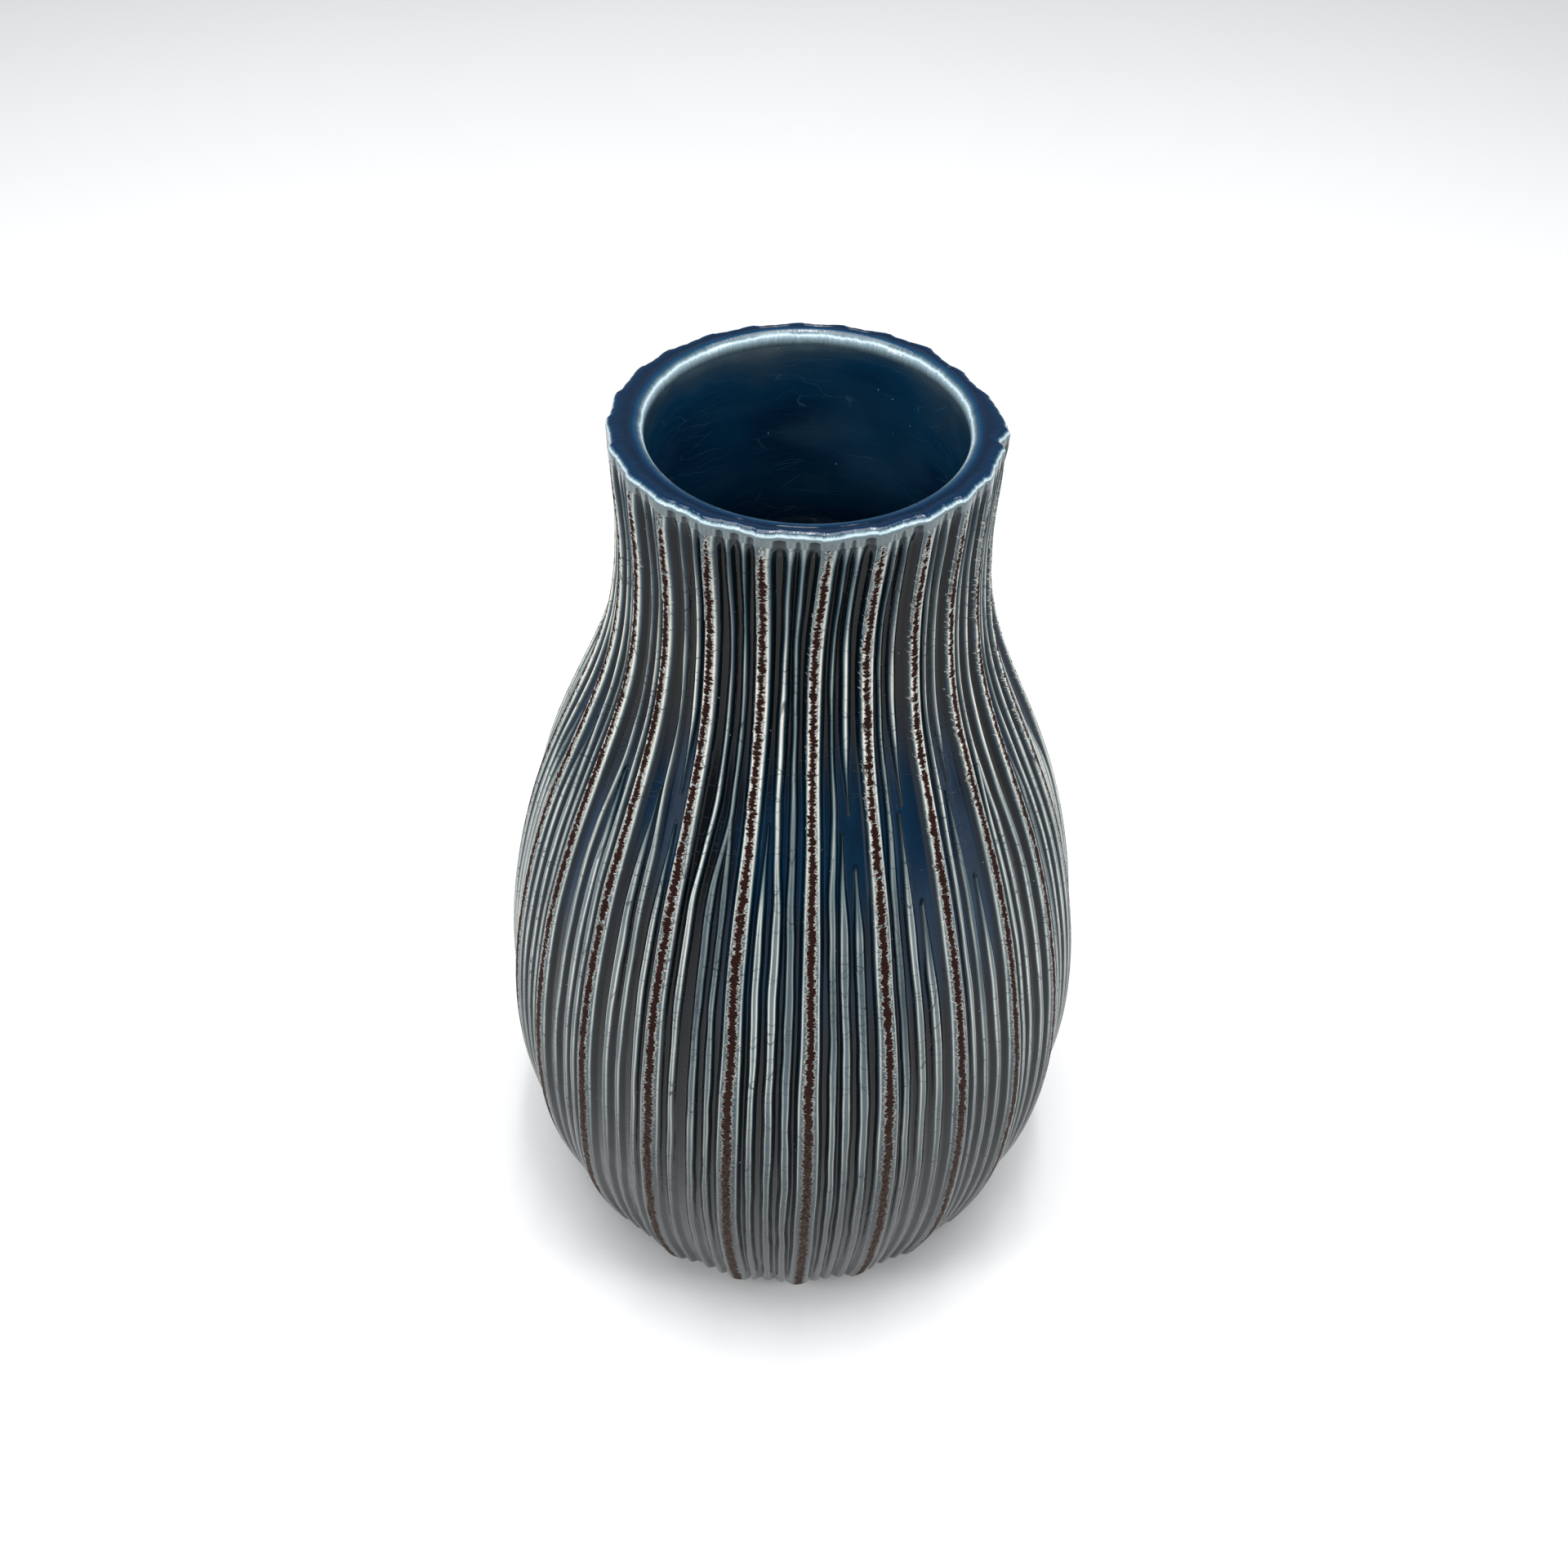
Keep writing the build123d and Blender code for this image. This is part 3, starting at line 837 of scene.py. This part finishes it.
# Clay: the foot all round, and a strip up each crest
all_columns = list(range(columns))
foot_take = slice(0, first_outside + FOOT_ROWS + 1)
under_attributes = over_attributes(underside[::-1], np.full(len(underside), -1.0), all_columns)
foot_attributes = joined(under_attributes, outside_attributes(slice(0, FOOT_ROWS + 1), all_columns))
foot_attributes["place"][:] = -1.0
foot = make_mesh("stoneware_foot", whole[foot_take], whole_normals[foot_take], foot_attributes, closed=True)
foot.data.materials.append(clay_skin)
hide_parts("clay_body")
for index in range(COUNT):
    first = index * CELLS
    column_list = list(range(first, first + STRIP_CELLS + 1))
    take = np.ix_(range(first_outside + FOOT_ROWS, first_outside + FOOT_ROWS + ROWS), column_list)
    attributes = outside_attributes(glaze_slice, column_list)
    strip = make_mesh(
        f"clay_crest_{index + 1:02d}", whole[take], whole_normals[take], attributes, closed=False,
    )
    strip.data.materials.append(clay_skin)

# Lip
lip_take = slice(first_outside + FOOT_ROWS + ROWS - 1, len(whole))
lip_attributes = joined(
    outside_attributes(slice(FOOT_ROWS + ROWS - 1, rows), all_columns),
    over_attributes(lip_over, np.array(lip_place), all_columns),
)
lip = make_mesh("glazed_lip", whole[lip_take], whole_normals[lip_take], lip_attributes, closed=True)
lip.data.materials.append(lip_skin)
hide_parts("lip_glaze")

# Inside wall and floor
corner_height = FLOOR + FLOOR_CORNER
inner_heights = np.linspace(LIP_SEAM, corner_height, INSIDE_ROWS)
inner = [(float(inside_radius(z)), z) for z in inner_heights]
corner_radius = inner[-1][0]
for turn in np.linspace(0, math.pi / 2, 16)[1:]:
    inner.append((
        corner_radius - FLOOR_CORNER * (1 - math.cos(turn)),
        corner_height - FLOOR_CORNER * math.sin(turn),
    ))
for share in np.linspace(0, 1, 30)[1:]:
    inner.append(((corner_radius - FLOOR_CORNER) * (1 - share) + AXIS_GAP, FLOOR))
inner = np.array(inner)
turns = np.radians(np.linspace(0, 360, INSIDE_COLUMNS + 1)[:-1])
around = turns[None, :] + 0 * inner[:, :1]
inner_grid = cylinder(inner[:, :1] + oval(around, inner[:, 1:]), around, inner[:, 1:])
inner_attributes = {
    "wrap": inner_grid.copy(),
    "place": LIP_SEAM - inner_grid[..., 2],
}
inside = make_mesh("glazed_inside", inner_grid, grid_normals(inner_grid), inner_attributes, closed=True)
inside.data.materials.append(inner_skin)
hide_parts("inner_glaze")

# ---------------------------------------------------------------- floor, light and camera
FLOOR_REACH = 3.0
FLOOR_DROP = 0.0002  # keeps the floor clear of the foot
floor_mesh = bpy.data.meshes.new("floor")
floor_corners = [(-1, -1), (1, -1), (1, 1), (-1, 1)]
floor_mesh.from_pydata([(x * FLOOR_REACH, y * FLOOR_REACH, 0) for x, y in floor_corners], [], [(0, 1, 2, 3)])
floor = bpy.data.objects.new("floor", floor_mesh)
bpy.context.collection.objects.link(floor)
floor.location.z = -FLOOR_DROP
paper = Shader("pale floor")
tone = paper.noise(paper.node("ShaderNodeTexCoord").outputs["Object"], 6.0, 2.0)
paper.feed(paper.surface.inputs["Base Color"], paper.mix(tone, (0.80, 0.80, 0.80, 1), (0.83, 0.83, 0.83, 1)))
paper.surface.inputs["Roughness"].default_value = 0.9
floor_mesh.materials.append(paper.material)


def area_light(name, place, target, size, power):
    """A rectangular light at place that faces the target."""
    data = bpy.data.lights.new(name, "AREA")
    data.shape = "RECTANGLE"
    data.size, data.size_y = size
    data.energy = power
    light = bpy.data.objects.new(name, data)
    light.location = place
    light.rotation_mode = "QUATERNION"
    light.rotation_quaternion = (Vector(target) - Vector(place)).to_track_quat("-Z", "Y")
    bpy.context.collection.objects.link(light)


area_light("overhead", (0.0, 0.05, 1.1), (0, 0, 0.08), (0.9, 0.7), 12.0)
area_light("strip", (0.03, 0.0, 1.0), (0, 0, 0.1), (0.34, 0.04), 2.2)
area_light("front", (0.0, -0.9, 0.95), (0, 0, 0.08), (1.0, 0.5), 3.0)
area_light("left", (-0.95, -0.45, 0.62), (0, 0, 0.12), (0.10, 0.9), 4.6)
area_light("right", (1.0, -0.35, 0.62), (0, 0, 0.12), (0.14, 0.9), 4.0)

world = bpy.data.worlds.new("soft room")
world.use_nodes = True
world.node_tree.nodes["Background"].inputs["Color"].default_value = (0.9, 0.94, 1.0, 1)
world.node_tree.nodes["Background"].inputs["Strength"].default_value = 0.25
bpy.context.scene.world = world
bpy.context.scene.view_settings.view_transform = "Standard"

# The camera stands where the photograph was taken from
LENS, SENSOR = 36.06, 36.0
YAW, PITCH, ROLL = -0.629, 44.876, 1.293  # degrees to the right, down, and about the line of sight
CAMERA_PLACE = Vector((0, -0.2052, 0.30575))
CAMERA_STEP = 0.003  # and this much nearer along the line of sight
camera_data = bpy.data.cameras.new("camera")
camera_data.lens = LENS
camera_data.sensor_width = SENSOR
camera_data.clip_start, camera_data.clip_end = 0.01, 20
camera = bpy.data.objects.new("camera", camera_data)
yaw, pitch, roll = math.radians(YAW), math.radians(PITCH), math.radians(ROLL)
forward = Vector((math.sin(yaw) * math.cos(pitch), math.cos(yaw) * math.cos(pitch), -math.sin(pitch)))
level = Vector((math.cos(yaw), -math.sin(yaw), 0))
upward = level.cross(forward)
right = level * math.cos(roll) + upward * math.sin(roll)
up = upward * math.cos(roll) - level * math.sin(roll)
turn = Matrix((right, up, -forward)).transposed()
camera.matrix_world = Matrix.Translation(CAMERA_PLACE + CAMERA_STEP * forward) @ turn.to_4x4()
bpy.context.collection.objects.link(camera)
bpy.context.scene.camera = camera

bpy.context.view_layer.update()
